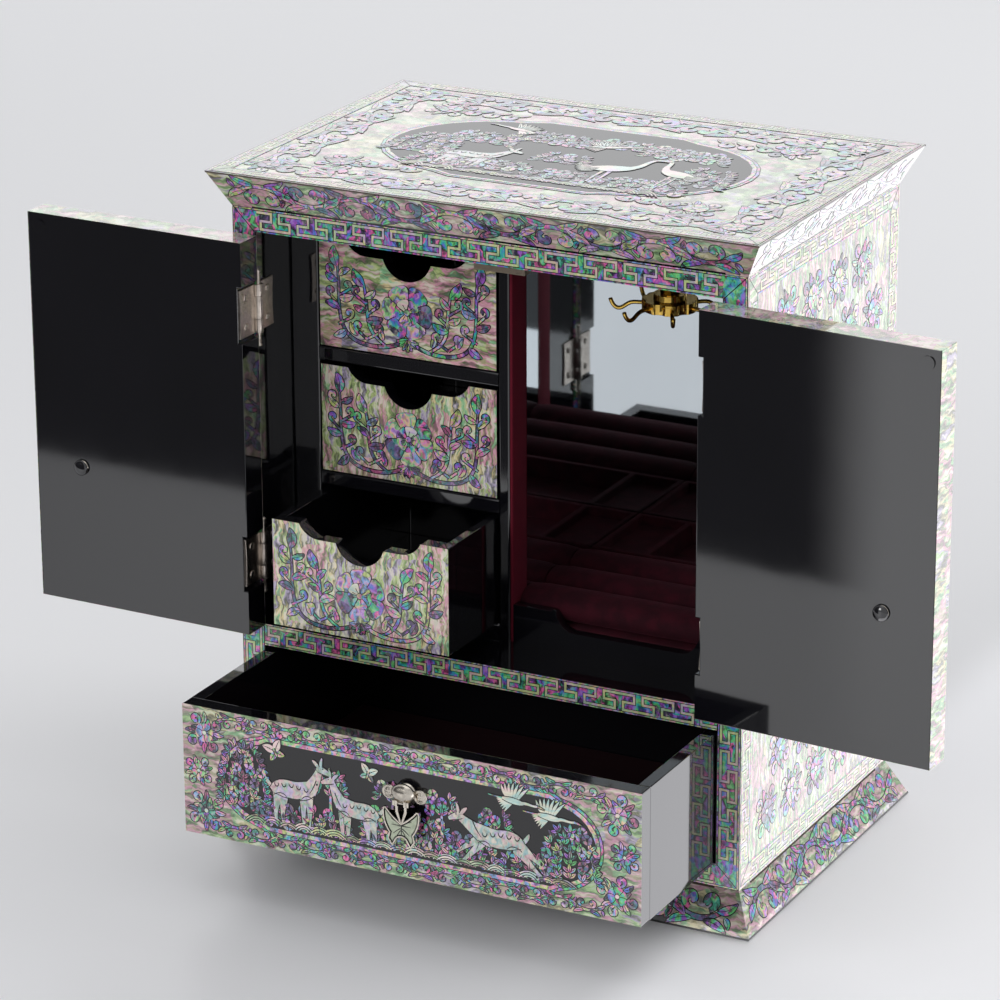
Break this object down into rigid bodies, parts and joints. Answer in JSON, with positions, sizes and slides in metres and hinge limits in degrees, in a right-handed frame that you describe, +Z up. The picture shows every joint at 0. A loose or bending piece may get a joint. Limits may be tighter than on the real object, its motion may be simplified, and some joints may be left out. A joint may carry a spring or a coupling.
{
  "type": "jewellery chest",
  "caption": "Lacquered jewellery chest inlaid with shell, with two hinged doors, small drawers, a mirrored hanging space with a hook carousel, and a wide drawer below.",
  "frame": {"origin": "middle of the plinth's lower rear edge, on the table", "axes": "+Z up, +X to the right seen from the front, and the front faces -Y"},
  "size_m": [0.5179, 0.2956, 0.367],
  "materials": {
    "pearl_on_lacquer": "gloss lacquer over mother of pearl",
    "black_lacquer": "gloss",
    "burgundy_velvet": "velvet",
    "mirror_glass": "polished",
    "nickel": "satin",
    "steel_disc": "satin",
    "bronze_plastic": "satin",
    "carousel_brass": "polished",
    "antique_silver": "antique"
  },
  "bodies": {
    "case": {"back_mirror": "mirror_glass", "back_panel": "black_lacquer", "bottom_board": "black_lacquer", "cap_back": "pearl_on_lacquer", "cap_front": "pearl_on_lacquer", "cap_left": "pearl_on_lacquer", "cap_right": "pearl_on_lacquer", "carousel_mount": "carousel_brass", "column_base": "black_lacquer", "column_cheek": "black_lacquer", "column_divider": "black_lacquer", "column_top": "black_lacquer", "hinge_frame_leaves": "nickel", "hinge_pins": "nickel", "left_mirror": "mirror_glass", "left_side_panel": "pearl_on_lacquer", "left_velvet_strip": "burgundy_velvet", "lip_board": "black_lacquer", "lower_shelf": "black_lacquer", "magnetic_catch": "bronze_plastic", "mid_board": "black_lacquer", "plinth_back": "pearl_on_lacquer", "plinth_front": "pearl_on_lacquer", "plinth_left": "pearl_on_lacquer", "plinth_right": "pearl_on_lacquer", "right_mirror": "mirror_glass", "right_side_panel": "pearl_on_lacquer", "right_velvet_strip": "burgundy_velvet", "ring_rolls": "burgundy_velvet", "top_board": "black_lacquer", "top_panel": "pearl_on_lacquer", "upper_shelf": "black_lacquer", "velvet_tray": "burgundy_velvet"},
    "left_door": {"left_door": "pearl_on_lacquer", "left_door_hinge_leaves": "nickel", "left_strike_disc": "steel_disc", "left_door_pull_mount": "antique_silver"},
    "right_door": {"right_door": "pearl_on_lacquer", "right_door_hinge_leaves": "nickel", "right_strike_disc": "steel_disc", "right_door_pull_mount": "antique_silver"},
    "left_door_butterfly": {"left_door_pull_butterfly": "antique_silver"},
    "right_door_butterfly": {"right_door_pull_butterfly": "antique_silver"},
    "wide_drawer": {"wide_drawer_back": "black_lacquer", "wide_drawer_floor": "black_lacquer", "wide_drawer_front": "pearl_on_lacquer", "wide_drawer_left_side": "black_lacquer", "wide_drawer_lining": "burgundy_velvet", "wide_drawer_pull_mount": "antique_silver", "wide_drawer_right_side": "black_lacquer"},
    "wide_drawer_butterfly": {"wide_drawer_pull_butterfly": "antique_silver"},
    "upper_drawer": {"upper_drawer_front": "pearl_on_lacquer", "upper_drawer_box": "black_lacquer"},
    "middle_drawer": {"middle_drawer_front": "pearl_on_lacquer", "middle_drawer_box": "black_lacquer"},
    "lower_drawer": {"lower_drawer_front": "pearl_on_lacquer", "lower_drawer_box": "black_lacquer"},
    "carousel": {"carousel_plate": "carousel_brass", "carousel_hooks": "carousel_brass"}
  },
  "joints": [
    {"name": "left_door_hinge", "type": "hinge", "parent": "case", "child": "left_door", "pos_m": [-0.12975, -0.2043, 0.22725], "axis": [0, 0, -1], "range_deg": [-181.2, 8.8]},
    {"name": "right_door_hinge", "type": "hinge", "parent": "case", "child": "right_door", "pos_m": [0.12975, -0.2043, 0.22725], "axis": [0, 0, 1], "range_deg": [-176.2, 13.8]},
    {"name": "upper_drawer_slide", "type": "slide", "parent": "case", "child": "upper_drawer", "axis": [0, -1, 0], "range_m": [0, 0.11]},
    {"name": "middle_drawer_slide", "type": "slide", "parent": "case", "child": "middle_drawer", "axis": [0, -1, 0], "range_m": [0, 0.11]},
    {"name": "lower_drawer_slide", "type": "slide", "parent": "case", "child": "lower_drawer", "axis": [0, -1, 0], "range_m": [-0.0542, 0.0558]},
    {"name": "wide_drawer_slide", "type": "slide", "parent": "case", "child": "wide_drawer", "axis": [0, -1, 0], "range_m": [-0.086, 0.05]},
    {"name": "carousel_spin", "type": "hinge", "parent": "case", "child": "carousel", "pos_m": [0.06405, -0.1185, 0.3], "axis": [0, 0, 1], "continuous": true},
    {"name": "wide_drawer_pull_swing", "type": "hinge", "parent": "wide_drawer", "child": "wide_drawer_butterfly", "pos_m": [0, -0.2941, 0.07735], "axis": [-1, 0, 0], "range_deg": [-10, 85]},
    {"name": "left_door_pull_swing", "type": "hinge", "parent": "left_door", "child": "left_door_butterfly", "pos_m": [-0.2309, -0.19838, 0.1934], "axis": [0.9998, -0.0209, 0], "range_deg": [-10, 85]},
    {"name": "right_door_pull_swing", "type": "hinge", "parent": "right_door", "child": "right_door_butterfly", "pos_m": [0.23103, -0.20722, 0.1934], "axis": [0.9978, -0.0663, 0], "range_deg": [-10, 85]}
  ],
  "couplings": [
    {"joint": "lower_drawer_slide", "follows": "left_door_hinge", "m_per_rad": 0.017138}
  ]
}
